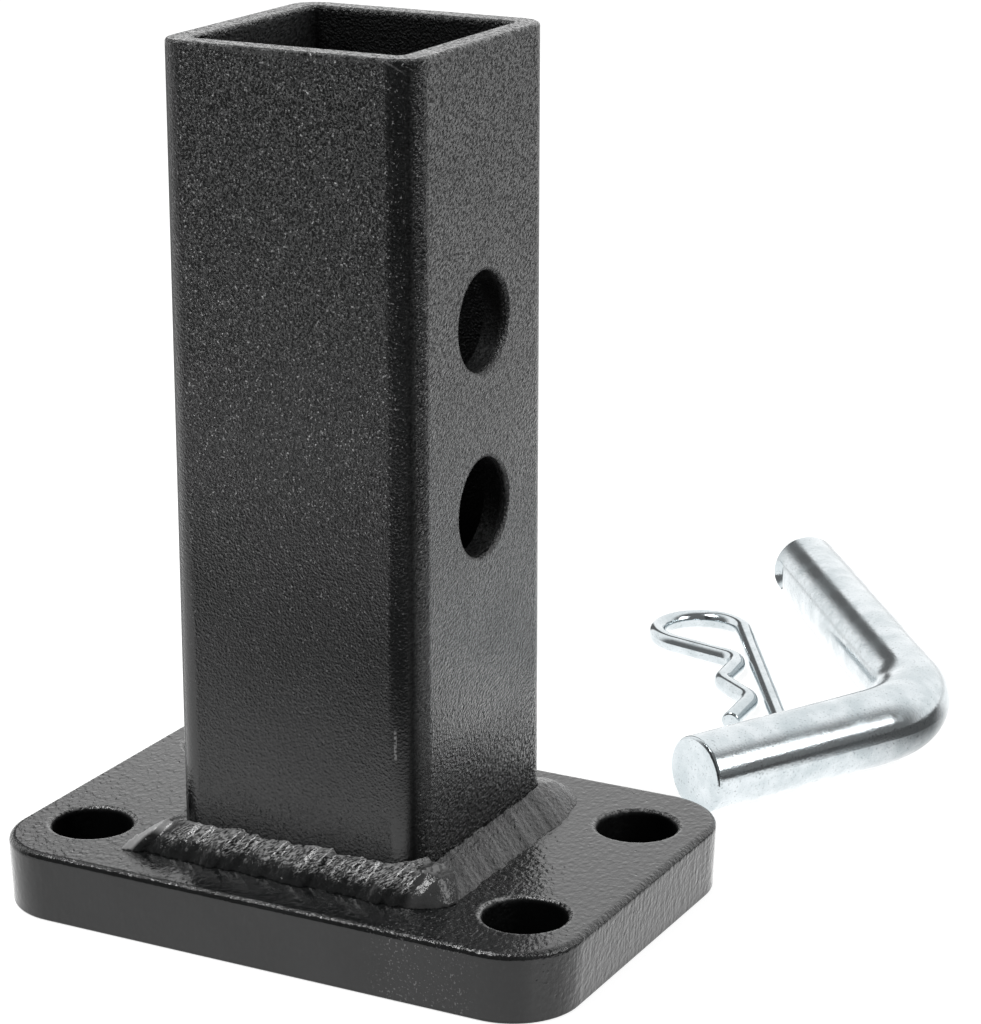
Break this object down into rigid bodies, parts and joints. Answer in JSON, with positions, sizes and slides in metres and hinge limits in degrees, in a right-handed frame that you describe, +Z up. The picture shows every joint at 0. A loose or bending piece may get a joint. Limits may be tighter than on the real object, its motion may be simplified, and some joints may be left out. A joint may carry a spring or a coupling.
{
  "type": "receiver hitch",
  "caption": "Square receiver tube welded upright on a bolt-down plate, with its bent hitch pin and spring clip lying beside it.",
  "frame": {"origin": "middle of the plate's underside, directly under the tube's axis", "axes": "+Z up along the tube towards its open end; +X along the plate's long side and along the pin holes; -Y is the front"},
  "size_m": [0.1296, 0.2452, 0.1625],
  "materials": {
    "black_powder_coat": "textured",
    "bright_zinc": "bright plated"
  },
  "bodies": {
    "root": {"base_plate": "black_powder_coat", "receiver_tube": "black_powder_coat", "weld_front": "black_powder_coat", "weld_right": "black_powder_coat", "weld_rear": "black_powder_coat", "weld_left": "black_powder_coat", "hitch_pin": "bright_zinc", "pin_clip": "bright_zinc"}
  },
  "joints": []
}
